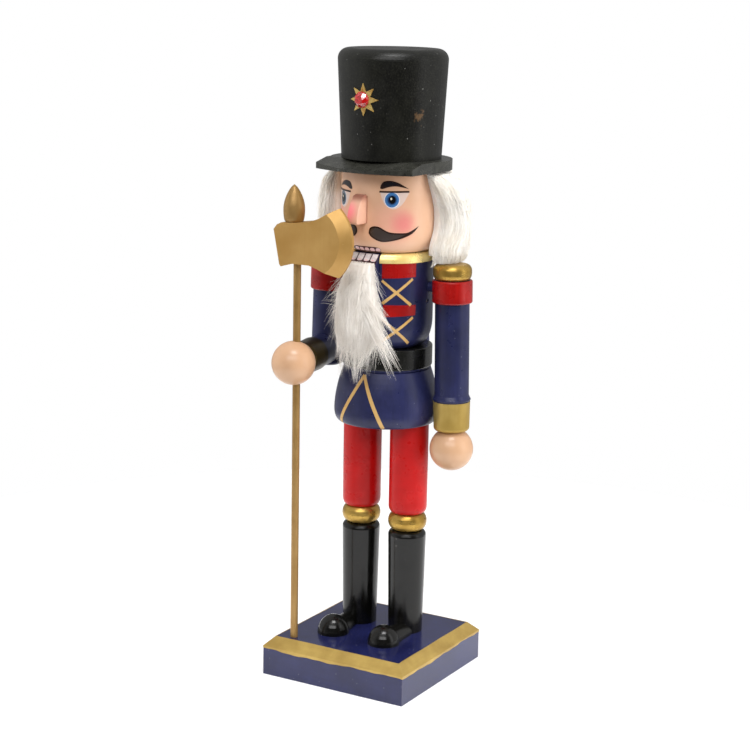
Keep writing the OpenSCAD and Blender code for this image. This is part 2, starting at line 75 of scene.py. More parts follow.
AXIS_Y = (BELT_LOW.y + BELT_HIGH.y) / 2     # the figure's turning axis, seen from its left side
HEAD_R = corners("head")[1].x
CHEST_R = corners("chest")[1].x
SKIRT_R = corners("coat_skirt")[1].x
JAW_MIDDLE = (JAW_LOW.x + JAW_HIGH.x) / 2
JAW_HALF = (JAW_HIGH.x - JAW_LOW.x) / 2
HEAD_TURN = math.radians(2.8)               # the face looks a little towards the staff
FACE_MIDDLE = -HEAD_TURN * HEAD_R


# ---------- studio ----------

CAMERA_PLACE = (0.4389, -0.7549, 0.3366)
CAMERA_AZIMUTH = math.radians(30.174)
CAMERA_PITCH = math.radians(12.79)
CAMERA_ROLL = math.radians(1.083)
LENS_MM, SENSOR_MM = 89.94, 36
LENS_SHIFT = (-0.0031, 0.0225)
FLOOR_R = 0.37          # the paper ends a little way in front of the figure
WALL_LEVEL = 0.7        # how bright the walls at the sides and back are
ROOM_LEVEL = 0.05       # and the dark room behind the camera
FAR_GLARE = 0.38        # how much less of the far wall a glossy surface shows
AIM = (0, 0, 0.14)      # what every lamp points at, about half way up the figure
# name, place, power in watts, width, height, whether glossy surfaces show it
LAMPS = [
    ("key_box", (0.35, -0.9, 0.85), 7.0, 1.1, 0.4, True),
    ("top_box", (0.2, -0.3, 1.0), 4.0, 0.4, 0.25, True),
    ("left_fill", (-0.9, -0.35, 0.4), 4.5, 0.3, 0.6, False),
    ("right_fill", (0.95, 0.1, 0.35), 6.5, 0.5, 0.8, False),
    ("right_box", (0.95, 0.1, 0.45), 1.0, 0.35, 0.9, True),
]


def add_camera():
    """A long lens a little above the figure, to its left and in front."""
    level = math.cos(CAMERA_PITCH)
    ahead = Vector((-math.sin(CAMERA_AZIMUTH) * level, math.cos(CAMERA_AZIMUTH) * level,
                    -math.sin(CAMERA_PITCH)))
    right = Vector((math.cos(CAMERA_AZIMUTH), math.sin(CAMERA_AZIMUTH), 0))
    up = right.cross(ahead)
    turn, lean = math.cos(CAMERA_ROLL), math.sin(CAMERA_ROLL)
    right, up = right * turn + up * lean, up * turn - right * lean
    data = bpy.data.cameras.new("camera")
    data.sensor_width = SENSOR_MM
    data.lens = LENS_MM
    data.shift_x, data.shift_y = LENS_SHIFT
    data.dof.use_dof = False
    camera = bpy.data.objects.new("camera", data)
    rows = [(right[k], up[k], -ahead[k], CAMERA_PLACE[k]) for k in range(3)]
    camera.matrix_world = Matrix(rows + [(0, 0, 0, 1)])
    bpy.context.scene.collection.objects.link(camera)
    bpy.context.scene.camera = camera


def area_light(name, place, power, width, height, glossy):
    """A soft box that points at the figure."""
    data = bpy.data.lights.new(name, "AREA")
    data.shape = "RECTANGLE"
    data.size, data.size_y = width, height
    data.energy = power
    light = bpy.data.objects.new(name, data)
    light.visible_glossy = glossy
    light.location = place
    light.rotation_euler = (Vector(AIM) - Vector(place)).to_track_quat("-Z", "Y").to_euler()
    bpy.context.scene.collection.objects.link(light)


def add_walls():
    """White walls at the sides and back, and a dark room behind the camera; the camera itself sees white."""
    world = bpy.data.worlds.new("studio")
    bpy.context.scene.world = world
    world.use_nodes = True
    tree = world.node_tree
    background = tree.nodes["Background"]
    background.inputs["Color"].default_value = (1, 1, 1, 1)
    outward = tree.nodes.new("ShaderNodeTexCoord").outputs["Generated"]
    facing = tree.nodes.new("ShaderNodeVectorMath")
    facing.operation = "DOT_PRODUCT"
    facing.inputs[1].default_value = (math.sin(CAMERA_AZIMUTH), -math.cos(CAMERA_AZIMUTH), 0.1)
    tree.links.new(outward, facing.inputs[0])

    def level(low, high, at_low, at_high):
        node = tree.nodes.new("ShaderNodeMapRange")
        node.interpolation_type = "SMOOTHSTEP"
        for key, value in (("From Min", low), ("From Max", high), ("To Min", at_low), ("To Max", at_high)):
            node.inputs[key].default_value = value
        tree.links.new(facing.outputs["Value"], node.inputs["Value"])
        return node.outputs["Result"]

    def choose(mask, a, b):
        node = tree.nodes.new("ShaderNodeMix")
        tree.links.new(mask, node.inputs["Factor"])
        for key, value in (("A", a), ("B", b)):
            if isinstance(value, bpy.types.NodeSocket):
                tree.links.new(value, node.inputs[key])
            else:
                node.inputs[key].default_value = value
        return node.outputs["Result"]

    ray = tree.nodes.new("ShaderNodeLightPath").outputs
    walls = level(0.15, 0.8, WALL_LEVEL, ROOM_LEVEL)
    far_wall = level(-1.0, -0.1, FAR_GLARE, 0)
    glare = tree.nodes.new("ShaderNodeMath")
    glare.operation = "SUBTRACT"
    glare.use_clamp = True
    tree.links.new(walls, glare.inputs[0])
    tree.links.new(far_wall, glare.inputs[1])
    seen = choose(ray["Is Glossy Ray"], walls, glare.outputs[0])
    tree.links.new(choose(ray["Is Camera Ray"], seen, 1.0), background.inputs["Strength"])


def add_floor():
    """A disc of white paper."""
    paper = bpy.data.materials.new("white_paper")
    paper.use_nodes = True
    shader = paper.node_tree.nodes["Principled BSDF"]
    shader.inputs["Base Color"].default_value = (0.93, 0.93, 0.93, 1)
    shader.inputs["Roughness"].default_value = 0.9
    shader.inputs["Emission Color"].default_value = (1, 1, 1, 1)
    shader.inputs["Emission Strength"].default_value = 0.12
    floor_mesh = bpy.data.meshes.new("floor")
    turns = [2 * math.pi * i / 96 for i in range(96)]
    rim = [(FLOOR_R * math.cos(t), FLOOR_R * math.sin(t), 0) for t in turns]
    floor_mesh.from_pydata(rim, [], [tuple(range(len(rim)))])
    floor_mesh.materials.append(paper)
    floor = bpy.data.objects.new("floor", floor_mesh)
    bpy.context.scene.collection.objects.link(floor)


def add_studio():
    bpy.context.scene.view_settings.view_transform = "Standard"
    add_walls()
    for lamp in LAMPS:
        area_light(*lamp)
    add_floor()


# ---------- materials ----------

def ink(red, green, blue):
    """A paint's colour, given as it looks on a screen from 0 to 255."""
    def linear(v):
        v /= 255
        return v / 12.92 if v <= 0.04045 else ((v + 0.055) / 1.055) ** 2.4
    return (linear(red), linear(green), linear(blue), 1.0)


class Finish:
    """A material being built: each call adds a node and hands back its output."""

    def __init__(self, name):
        self.material = bpy.data.materials.new(name)
        self.material.use_nodes = True
        self.tree = self.material.node_tree
        self.shader = self.tree.nodes["Principled BSDF"]
        self.place = self.add("ShaderNodeTexCoord").outputs["Object"]

    def add(self, kind, inputs=None, **settings):
        node = self.tree.nodes.new(kind)
        for key, value in settings.items():
            setattr(node, key, value)
        for key, value in (inputs or {}).items():
            self.feed(node.inputs[key], value)
        return node

    def feed(self, socket, value):
        if isinstance(value, bpy.types.NodeSocket):
            self.tree.links.new(value, socket)
        else:
            socket.default_value = value

    def set(self, **values):
        """Shader inputs by name, with underscores for spaces."""
        for key, value in values.items():
            self.feed(self.shader.inputs[key.replace("_", " ")], value)

    def stretched(self, scale):
        return self.add("ShaderNodeMapping", {"Vector": self.place, "Scale": scale}).outputs["Vector"]

    def noise(self, scale, detail=2.0, rough=0.5, stretch=None, warp=0.0):
        place = self.place if stretch is None else self.stretched(stretch)
        inputs = {"Vector": place, "Scale": scale, "Detail": detail, "Roughness": rough, "Distortion": warp}
        return self.add("ShaderNodeTexNoise", inputs).outputs["Fac"]

    def span(self, value, low, high, to_low=0.0, to_high=1.0, smooth=False):
        kind = "SMOOTHSTEP" if smooth else "LINEAR"
        inputs = {"Value": value, "From Min": low, "From Max": high, "To Min": to_low, "To Max": to_high}
        return self.add("ShaderNodeMapRange", inputs, interpolation_type=kind).outputs["Result"]

    def maths(self, kind, a, b):
        return self.add("ShaderNodeMath", {0: a, 1: b}, operation=kind).outputs[0]

    def blend(self, factor, a, b):
        return self.add("ShaderNodeMix", {0: factor, 6: a, 7: b}, data_type="RGBA").outputs[2]

    def distance(self, point):
        """How far the surface is from a point given in millimetres, in metres."""
        return self.add("ShaderNodeVectorMath", {0: self.place, 1: Vector(point) * MM},
                        operation="DISTANCE").outputs["Value"]

    def height(self):
        return self.add("ShaderNodeSeparateXYZ", {0: self.place}).outputs["Z"]

    def dust(self, cells, size, share):
        """A mask of specks: cells per metre, radius as a part of a cell, share of cells that have one."""
        cell = self.add("ShaderNodeTexVoronoi", {"Vector": self.place, "Scale": cells})
        pick = self.add("ShaderNodeSeparateColor", {0: cell.outputs["Color"]})
        here = self.maths("LESS_THAN", pick.outputs["Red"], share)
        radius = self.maths("MULTIPLY", pick.outputs["Green"], size)
        return self.maths("MULTIPLY", here, self.maths("LESS_THAN", cell.outputs["Distance"], radius))

    def bump(self, height, depth):
        """depth in millimetres."""
        inputs = {"Height": height, "Distance": depth * MM, "Strength": 1.0}
        return self.add("ShaderNodeBump", inputs).outputs["Normal"]


# how far the grain's noise is stretched along each axis
GRAIN_UP = (1, 1, 0.05)
GRAIN_ACROSS = (0.06, 1, 1)
GRAIN_ROUND = (0.12, 0.12, 1)
GRAIN_LEVEL = (0.05, 0.05, 1)


def painted(name, colour, shade, rough, grain=GRAIN_UP, depth=0.03, metallic=0.0, coat=0.0, mottle=70,
            dust=0.0, dust_colour=ink(150, 150, 145), streak=0.35, gloss=0.5, extra=None):
    """Brushed-on paint over turned wood: mottled colour, grain that shows through, dust, a dry or wet gloss.

    depth is the relief of the grain in millimetres, mottle its clouds per metre, dust the share of specks."""
    f = Finish(name)
    cloud = f.span(f.noise(mottle, 3, 0.55), 0.3, 0.7)
    tone = f.blend(cloud, colour, shade)
    lines = f.noise(1000, 3, 0.6, stretch=grain, warp=0.6)
    streaks = f.span(lines, 0.45, 0.75, 0, streak)
    tone = f.blend(streaks, tone, shade)
    if extra is not None:
        tone = extra(f, tone)
    roughness = f.span(f.noise(mottle * 2.3, 2), 0.3, 0.7, rough - 0.05, rough + 0.06)
    if dust:
        specks = f.dust(420, 0.13, dust)
        tone = f.blend(f.maths("MULTIPLY", specks, 0.4), tone, dust_colour)
    fine = f.noise(2600, 2, 0.6)
    relief = f.maths("ADD", f.maths("MULTIPLY", lines, 0.75), f.maths("MULTIPLY", fine, 0.25))
    f.set(Base_Color=tone, Roughness=roughness, Metallic=metallic, Coat_Weight=coat, Coat_Roughness=0.08,
          Specular_IOR_Level=gloss, Normal=f.bump(relief, depth))
    return f.material


def on_face(across, up, radius=None):
    """A point of the head's side, in millimetres: across from the middle of the face, and up."""
    angle = (across + FACE_MIDDLE) / HEAD_R
    radius = radius or HEAD_R
    return Vector((radius * math.sin(angle), AXIS_Y - radius * math.cos(angle), up))


def rouge_and_brim_shadow(f, tone):
    """Soft rouge and a wider flush on both cheeks, and a painted brown shadow of the brim up under it."""
    # across, up, and the two radii between which the colour fades, all in millimetres; then its strength
    rouge = (19.2, 221.2, 0.5, 8.4, 1.0, ink(220, 110, 116))
    flush = (15, 221, 4, 15, 0.5, ink(220, 150, 134))
    for across, up, near, far, strength, colour in (rouge, flush):
        for side in (1, -1):
            away = f.distance(on_face(side * across, up))
            mask = f.span(away, far * MM, near * MM, 0, strength, smooth=True)
            mask = f.maths("MULTIPLY", mask, f.span(f.noise(900, 2), 0.2, 0.6, 0.75, 1))
            tone = f.blend(mask, tone, colour)
    # painted shadow of the brim: the skin turns brown towards the top of the forehead
    brim_shadow = f.span(f.height(), 0.2385, 0.2452, 0, 0.35, smooth=True)
    return f.blend(brim_shadow, tone, ink(186, 132, 96))


def worn_hat(f, tone):
    """A small brown spot where the lacquer of the hat has worn through, and a dusty bloom."""
    angle, crown_r, up = math.radians(59.5), 25, 270.3
    spot = Vector((crown_r * math.sin(angle), AXIS_Y - crown_r * math.cos(angle), up))
    ragged = f.maths("ADD", f.distance(spot), f.span(f.noise(420, 3, 0.7), 0.3, 0.7, -0.0026, 0.0026))
    mask = f.span(ragged, 0.0030, 0.0010, 0, 0.8)
    tone = f.blend(mask, tone, ink(92, 68, 42))
    bloom = f.span(f.noise(45, 4, 0.65, stretch=(1, 1, 0.5)), 0.45, 0.8, 0, 0.16)
    tone = f.blend(bloom, tone, ink(70, 70, 60))
    grit = f.span(f.noise(1400, 2, 0.7), 0.5, 0.75, 0, 0.25)
    return f.blend(grit, tone, ink(66, 66, 56))


def fur(name, light, low):
    """White plush, a little different from strand to strand and warmer in patches."""
    f = Finish(name)
    each = f.add("ShaderNodeNewGeometry").outputs["Random Per Island"]
    patch = f.span(f.noise(120, 3, 0.6), 0.35, 0.7)
    factor = f.maths("ADD", f.maths("MULTIPLY", each, 0.5), f.maths("MULTIPLY", patch, 0.5))
    tone = f.blend(factor, light, low)
    f.set(Base_Color=tone, Roughness=0.6, Specular_IOR_Level=0.3, Sheen_Weight=0.8, Sheen_Roughness=0.5,
          Normal=f.bump(f.noise(2600, 2, stretch=(1, 1, 0.08)), 0.03))
    return f.material


def glass(name, colour, deep):
    """Cut glass with a bright, slightly clouded body."""
    f = Finish(name)
    tone = f.blend(f.span(f.noise(900, 2), 0.3, 0.7), colour, deep)
    f.set(Base_Color=tone, Roughness=0.04, IOR=1.7, Coat_Weight=1.0, Coat_Roughness=0.02,
          Transmission_Weight=0.25, Normal=f.bump(f.noise(1500, 1), 0.01))
    return f.material


def iris_paint(name, middle, dark, light):
    """Blue, darker round the pupil and along fine spokes."""
    f = Finish(name)
    ring = f.span(f.distance(middle), 0.0016, 0.0027, smooth=True)
    tone = f.blend(ring, dark, light)
    tone = f.blend(f.span(f.noise(1800, 2), 0.45, 0.7, 0, 0.3), tone, dark)
    f.set(Base_Color=tone, Roughness=0.3, Coat_Weight=0.3, Normal=f.bump(f.noise(2500, 1), 0.01))
    return f.material


COAT = painted("coat_paint", ink(40, 43, 82), ink(28, 31, 60), 0.32, depth=0.05, dust=0.35, streak=0.5,
               dust_colour=ink(120, 122, 135), gloss=0.35)
PLINTH = painted("plinth_paint", ink(34, 38, 84), ink(24, 27, 66), 0.16, grain=GRAIN_ACROSS, depth=0.02,
                 dust=0.3, dust_colour=ink(130, 132, 145), streak=0.35, coat=0.3, gloss=0.4)
BOOT = painted("boot_paint", ink(15, 14, 12), ink(8, 8, 7), 0.2, depth=0.025, dust=0.2, streak=0.4,
               gloss=0.38)
BELT = painted("belt_paint", ink(20, 20, 17), ink(11, 11, 10), 0.24, grain=GRAIN_ROUND, depth=0.03, dust=0.15)
TROUSER = painted("trouser_paint", ink(190, 14, 14), ink(166, 8, 8), 0.3, grain=GRAIN_ROUND, depth=0.06,
                  streak=0.4, gloss=0.3)
RED = painted("red_paint", ink(168, 18, 14), ink(130, 9, 8), 0.28, depth=0.05, streak=0.6, gloss=0.4)
BRIGHT_GOLD = painted("bright_gold", ink(200, 166, 86), ink(160, 124, 50), 0.3, grain=GRAIN_ROUND, depth=0.03,
                      metallic=0.75, streak=0.5, mottle=110)
# the collar's gold lightened almost to white: a painted highlight
COLLAR_HIGHLIGHT_GOLD = painted("collar_gold", ink(253, 236, 170), ink(238, 210, 130), 0.3, grain=GRAIN_ROUND,
                      depth=0.02, metallic=0.35, streak=0.4, mottle=90)
# a darker copy of the cuff gold for the right cuff: painted shade
SHADED_CUFF_GOLD = painted("cuff_gold_painted_shade", ink(84, 70, 34), ink(44, 34, 14), 0.34, depth=0.05, metallic=0.5, streak=0.7)
BORDER_GOLD = painted("border_gold", ink(192, 162, 88), ink(164, 134, 68), 0.36, grain=GRAIN_LEVEL,
                      depth=0.02, metallic=0.45, streak=0.3, mottle=90)
STAR_GOLD = painted("star_gold", ink(216, 194, 120), ink(168, 120, 52), 0.38, depth=0.02, metallic=0.4,
                    mottle=420)
CUFF_GOLD = painted("cuff_gold", ink(200, 172, 98), ink(172, 142, 70), 0.42, depth=0.05, metallic=0.6,
                    streak=0.6)
STAFF_GOLD = painted("staff_gold", ink(194, 154, 90), ink(176, 134, 70), 0.42, depth=0.02, metallic=0.45,
                     streak=0.25, mottle=60, dust=0.1, dust_colour=ink(220, 190, 130))
ROD_GOLD = painted("rod_gold", ink(166, 132, 80), ink(146, 112, 60), 0.42, depth=0.02, metallic=0.45,
                   streak=0.4)
SKIN = painted("skin_paint", ink(222, 180, 150), ink(214, 169, 137), 0.33, depth=0.012, streak=0.12,
               coat=0.1, extra=rouge_and_brim_shadow)
# a darker copy of the skin for the hands: painted shade
SHADED_HAND_SKIN = painted("hand_skin_painted_shade", ink(202, 162, 128), ink(194, 152, 118), 0.33, depth=0.015, streak=0.15,
                    coat=0.1)
HAT = painted("hat_paint", ink(15, 15, 12), ink(9, 9, 7), 0.36, depth=0.06, dust=0.5, streak=0.6, gloss=0.3,
              extra=worn_hat)
BRIM = painted("brim_paint", ink(58, 58, 52), ink(34, 34, 30), 0.3, depth=0.06, dust=0.6, streak=0.6,
               mottle=300)
WOOD = painted("bare_wood", ink(206, 170, 118), ink(178, 138, 86), 0.6, depth=0.05, streak=0.6)
STEEL = painted("steel", ink(170, 170, 172), ink(140, 140, 142), 0.32, metallic=1.0, depth=0.01)
HAIR_FUR = fur("hair_fur", ink(253, 251, 248), ink(242, 234, 220))
BEARD_FUR = fur("beard_fur", ink(250, 246, 240), ink(222, 214, 204))
DARK_PAINT = painted("moustache_edge", ink(44, 24, 18), ink(34, 18, 14), 0.3, depth=0.01)
MOUSTACHE = painted("moustache_grey", ink(70, 60, 56), ink(56, 48, 46), 0.3, depth=0.01)
BROW = painted("brow_navy", ink(24, 24, 36), ink(18, 18, 24), 0.3, depth=0.01)
EYE_WHITE = painted("eye_white", ink(218, 198, 190), ink(210, 186, 174), 0.35, depth=0.01)
EYE_RIM = painted("eye_rim", ink(234, 232, 236), ink(214, 212, 220), 0.35, depth=0.01)
PUPIL = painted("pupil_black", ink(14, 16, 20), ink(8, 8, 10), 0.2, depth=0.005)
GLINT = painted("glint_white", ink(245, 240, 225), ink(235, 228, 205), 0.3, depth=0.005)
LIP_RED = painted("lip_red", ink(76, 8, 18), ink(44, 4, 10), 0.3, depth=0.01)
TOOTH = painted("tooth_white", ink(226, 220, 218), ink(186, 176, 178), 0.3, depth=0.02, mottle=500)
UPPER_TOOTH = painted("upper_tooth_pink", ink(240, 208, 206), ink(222, 178, 178), 0.3, depth=0.01)
CREAM = painted("cream_paint", ink(232, 222, 208), ink(214, 200, 182), 0.4, depth=0.02)
LINE_GOLD = painted("line_gold", ink(216, 180, 116), ink(190, 146, 82), 0.4, depth=0.02, metallic=0.15)
GEM = glass("cut_glass_red", ink(222, 20, 24), ink(150, 8, 10))

SLOTS = {finish.name.split(".")[0]: finish for finish in (
    COAT, PLINTH, BOOT, BELT, TROUSER, RED, BRIGHT_GOLD, CUFF_GOLD, STAFF_GOLD, SKIN, HAT, WOOD, STEEL, GEM)}
SLOTS["white_fur"] = HAIR_FUR
# nodes whose paint differs a little from the rest of their slot: the hands and the right cuff as painted
# shade, the collar as a painted highlight
OWN_PAINT = {
    "hat_star": STAR_GOLD, "hand_left": SHADED_HAND_SKIN, "hand_right": SHADED_HAND_SKIN, "collar": COLLAR_HIGHLIGHT_GOLD,
    "cuff_right": SHADED_CUFF_GOLD, "hat_brim": BRIM, "shoulder_peg_left": COAT, "shoulder_peg_right": COAT,
    "staff_rod": ROD_GOLD, "staff_finial": ROD_GOLD,
}


def dress_cad():
    """Every CAD node's plain slot material gives way to the finish of the same name."""
    for node in NODES.values():
        for slot in node.material_slots:
            name = slot.material.name.split(".")[0]
            slot.material = SLOTS[name]
    for name, material in OWN_PAINT.items():
        NODES[name].material_slots[0].material = material


# ---------- mesh helpers ----------

def new_mesh(name, points, faces, material, body, smooth_angle=40):
    """A mesh object of points given in millimetres, that rides on a body."""
    mesh = bpy.data.meshes.new(name)
    mesh.from_pydata([tuple(float(c) * MM for c in p) for p in points], [], [tuple(f) for f in faces])
    mesh.materials.append(material)
    mesh.shade_smooth()
    mesh.set_sharp_from_angle(angle=math.radians(smooth_angle))
    obj = bpy.data.objects.new(name, mesh)
    bpy.context.scene.collection.objects.link(obj)
    if body:
        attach(obj, body)
    return obj


def curve_through(points, steps=6):
    """A closed smooth line through the points; a point given twice makes a corner."""
    line = []
    count = len(points)
    for i in range(count):
        a, b, c, d = (Vector(points[(i + k) % count]) for k in (-1, 0, 1, 2))
        if (c - b).length < 1e-6:
            continue
        leave = (c - a) / 6 if (b - a).length > 1e-6 else Vector((0, 0))
        arrive = (d - b) / 6 if (d - c).length > 1e-6 else Vector((0, 0))
        span = interpolate_bezier(b.to_3d(), (b + leave).to_3d(), (c - arrive).to_3d(), c.to_3d(), steps + 1)
        line += [p.to_2d() for p in span[:-1]]
    return line


def ellipse(middle, wide, tall, count=36):
    turns = [2 * math.pi * i / count for i in range(count)]
    return [Vector((middle[0] + wide * math.cos(t), middle[1] + tall * math.sin(t))) for t in turns]


def stroke(a, b, wide_a, wide_b=None):
    """A brush line from a to b with square ends, as an outline."""
    a, b = Vector(a), Vector(b)
    wide_b = wide_a if wide_b is None else wide_b
    side = Vector((a.y - b.y, b.x - a.x)).normalized()
    return [a + side * wide_a / 2, a - side * wide_a / 2, b - side * wide_b / 2, b + side * wide_b / 2]


def resampled(outline, step):
    """The outline with no edge longer than step."""
    line = []
    for a, b in zip(outline, outline[1:] + outline[:1]):
        a, b = Vector(a), Vector(b)
        parts = max(1, math.ceil((b - a).length / step))
        line += [a.lerp(b, i / parts) for i in range(parts)]
    return line


def inside(point, outline):
    """Whether the outline goes round the point."""
    odd = False
    for a, b in zip(outline, outline[1:] + outline[:1]):
        if (a.y > point.y) != (b.y > point.y):
            if point.x < (b.x - a.x) * (point.y - a.y) / (b.y - a.y) + a.x:
                odd = not odd
    return odd


def clear_of_edge(point, outline, room):
    """Whether the point is at least room away from every edge of the outline."""
    for a, b in zip(outline, outline[1:] + outline[:1]):
        near, t = intersect_point_line(point, a, b)
        near = a if t < 0 else b if t > 1 else Vector(near[:2])
        if (near - point).length < room:
            return False
    return True


def filled(outline, step):
    """Triangles over an outline, with points inside it no further apart than step."""
    edge = resampled(outline, step)
    low = [min(p[k] for p in edge) for k in (0, 1)]
    high = [max(p[k] for p in edge) for k in (0, 1)]
    inner = []
    for i in range(int((high[0] - low[0]) / step) + 1):
        for j in range(int((high[1] - low[1]) / step) + 1):
            p = Vector((low[0] + (i + 0.5 * (j % 2)) * step, low[1] + j * step))
            if inside(p, edge) and clear_of_edge(p, edge, 0.45 * step):
                inner.append(p)
    result = delaunay_2d_cdt(edge + inner, [], [list(range(len(edge)))], 1, 1e-6)
    return result[0], result[2]


def film(name, outline, place, material, body, lift=0.1, step=0.9, sink=0.25):
    """A closed film of paint over an outline, from sink below the wood's surface to lift above it.

    place turns (along, up, height) into a point, and step is the size of the film's triangles."""
    flat, faces = filled(outline, step)
    count = len(flat)
    points = [place(p.x, p.y, lift) for p in flat] + [place(p.x, p.y, -sink) for p in flat]
    edges = {(a, b) for f in faces for a, b in zip(f, f[1:] + f[:1])}
    rim = [(a, a + count, b + count, b) for a, b in edges if (b, a) not in edges]
    back = [tuple(i + count for i in reversed(f)) for f in faces]
    return new_mesh(name, points, [tuple(f) for f in faces] + back + rim, material, body)


class TurnedWall:
    """The side of a turned CAD node, unrolled: along it in millimetres from a middle, and up."""

    def __init__(self, node, radius, middle=0.0):
        mesh = NODES[node].data
        points = [v.co / MM for v in mesh.vertices]
        self.tree = BVHTree.FromPolygons(points, [p.vertices for p in mesh.polygons])
        self.radius = radius
        self.middle = middle

    def __call__(self, along, up, height):
        angle = (along + self.middle) / self.radius
        out = Vector((math.sin(angle), -math.cos(angle), 0))
        axis, well_outside = Vector((0, AXIS_Y, up)), 60
        hit, normal, _, _ = self.tree.ray_cast(axis + out * well_outside, -out)
        if hit is None:
            return axis + out * (self.radius + height)
        return hit + (out + normal * 0.5).normalized() * height


def flat_wall(origin, across, up_dir):
    """A flat face: along and up measured from its origin."""
    across, up_dir = Vector(across).normalized(), Vector(up_dir).normalized()
    out = across.cross(up_dir)
    return lambda along, up, height: Vector(origin) + across * along + up_dir * up + out * height


# ---------- painted face ----------

NOSE_MIDDLE = -1.1      # the nose is glued a little off the middle of the face
NOSE_HALF = 2.9
# the side of the nose: how far out of the head, and up
NOSE_SIDE = [(-2.0, 220.8), (-2.0, 234.2), (1.0, 234.2), (2.6, 233.6), (4.6, 231.0), (6.4, 227.6),
             (7.6, 223.6), (7.7, 221.4), (6.9, 220.8)]

FACE = TurnedWall("head", HEAD_R, FACE_MIDDLE)


def mirrored(points, side, shift=(0, 0)):
    """Points of the left half of the face, or their mirror image on the right half."""
    return [(side * x + shift[0], y + shift[1]) for x, y in points]


def word_for(side):
    return "left" if side > 0 else "right"


def paint_eye(side, middle, drop, blues):
    """One eye: soft white, pale ring, iris, pupil, glint and the lid's line."""
    word = word_for(side)
    across, up = middle
    white = mirrored([(8.5, 235.6), (8.5, 235.6), (9.4, 232.6), (11.0, 229.8), (14, 228.0), (17.2, 228.9),
                      (19.8, 231.6), (22.0, 235.6), (22.0, 235.6)], side, (0, drop))
    film(f"eye_white_{word}", curve_through(white), FACE, EYE_WHITE, "figure", 0.05)
    film(f"eye_rim_{word}", ellipse(middle, 3.65, 3.7), FACE, EYE_RIM, "figure", 0.08, 0.8)
    blue = iris_paint(f"iris_blue_{word}", on_face(across, up), *blues)
    film(f"iris_{word}", ellipse(middle, 3.25, 3.4), FACE, blue, "figure", 0.11, 0.8)
    pupil = ellipse((across + 0.15, up + 0.1), 1.5, 1.8, 24)
    film(f"pupil_{word}", pupil, FACE, PUPIL, "figure", 0.15, 0.8)
    glint = ellipse((across - 0.35, up + 0.6), 0.42, 0.5, 14)
    film(f"eye_glint_{word}", glint, FACE, GLINT, "figure", 0.19, 0.6)
    lid = mirrored([(8.0, 235.5), (22.1, 235.6), (22.0, 236.4), (8.1, 236.3)], side, (0, drop))
    film(f"lid_line_{word}", [Vector(p) for p in lid][::side], FACE, DARK_PAINT, "figure", 0.16)


def paint_brow(side, shift):
    """One eyebrow: a brown edge with navy on it."""
    word = word_for(side)
    outer = mirrored([(8.4, 237.6), (9.0, 239.4), (10.3, 240.6), (13.0, 241.0), (15.7, 240.5),
                      (17.8, 239.6), (21.9, 237.2), (21.9, 237.2), (18.9, 238.0), (15.8, 238.5),
                      (12.7, 238.2), (10.0, 237.3), (8.9, 237.2)], side, shift)
    inner = mirrored([(9.8, 238.6), (10.7, 239.9), (13.1, 240.4), (15.4, 239.9), (17.1, 239.1),
                      (14.4, 239.0), (11.1, 238.5)], side, shift)
    film(f"brow_edge_{word}", curve_through(outer), FACE, DARK_PAINT, "figure", 0.1)
    film(f"brow_{word}", curve_through(inner), FACE, BROW, "figure", 0.14)


def paint_moustache(side):
    """Half of the moustache: a brown edge with grey on it."""
    word = word_for(side)
    outer = mirrored([(3.2, 216.9), (3.7, 218.8), (5.2, 219.7), (7.1, 219.8), (9.0, 219.3),
                      (11.1, 218.1), (13.5, 217.2), (17.6, 216.9), (21.1, 217.0), (23.6, 217.9),
                      (27.4, 219.9), (27.4, 219.9), (24.8, 217.2), (21.8, 215.5), (16.6, 213.7),
                      (10.9, 212.7), (7.8, 213.1), (5.3, 214.3), (3.8, 215.5)], side)
    inner = mirrored([(4.1, 217.2), (4.6, 218.4), (6.0, 219.1), (8.0, 218.9), (10.4, 217.6),
                      (13.4, 216.5), (18.0, 216.2), (20.6, 216.2), (20.6, 216.2), (16.6, 214.5),
                      (10.9, 213.4), (7.0, 214.1), (4.9, 215.5)], side)
    film(f"moustache_edge_{word}", curve_through(outer), FACE, DARK_PAINT, "figure", 0.1)
    film(f"moustache_{word}", curve_through(inner), FACE, MOUSTACHE, "figure", 0.14)


def paint_upper_teeth():
    """A dark red lip along the lower edge of the head, with a row of scalloped teeth on it."""
    lip = [(-7.2, 207.5), (8.6, 207.5), (8.9, 208.6), (8.2, 209.6), (6.0, 210.0), (-5.0, 210.0),
           (-7.4, 209.4), (-7.8, 208.4)]
    film("upper_lip", [Vector(p) for p in lip], FACE, LIP_RED, "figure", 0.08, 0.7)
    count, first, pitch = 5, -6.3, 3.05
    for i in range(count):
        left = first + i * pitch
        tooth = [(left + 0.2, 208.2), (left + 0.5, 209.2), (left + 1.4, 209.5), (left + 2.4, 209.3),
                 (left + 2.8, 208.3), (left + 2.4, 207.9), (left + 0.6, 207.9)]
        film(f"upper_tooth_{i + 1}", curve_through(tooth[::-1]), FACE, UPPER_TOOTH, "figure", 0.16, 0.6)


def paint_face():
    paint_eye(1, (13.95, 232.2), 0, (ink(20, 40, 80), ink(64, 116, 172)))
    paint_eye(-1, (-15.2, 231.2), -1.1, (ink(28, 40, 50), ink(62, 88, 108)))
    paint_brow(1, (0, 0))
    paint_brow(-1, (1.4, -1.2))
    paint_moustache(1)
    paint_moustache(-1)
    paint_upper_teeth()


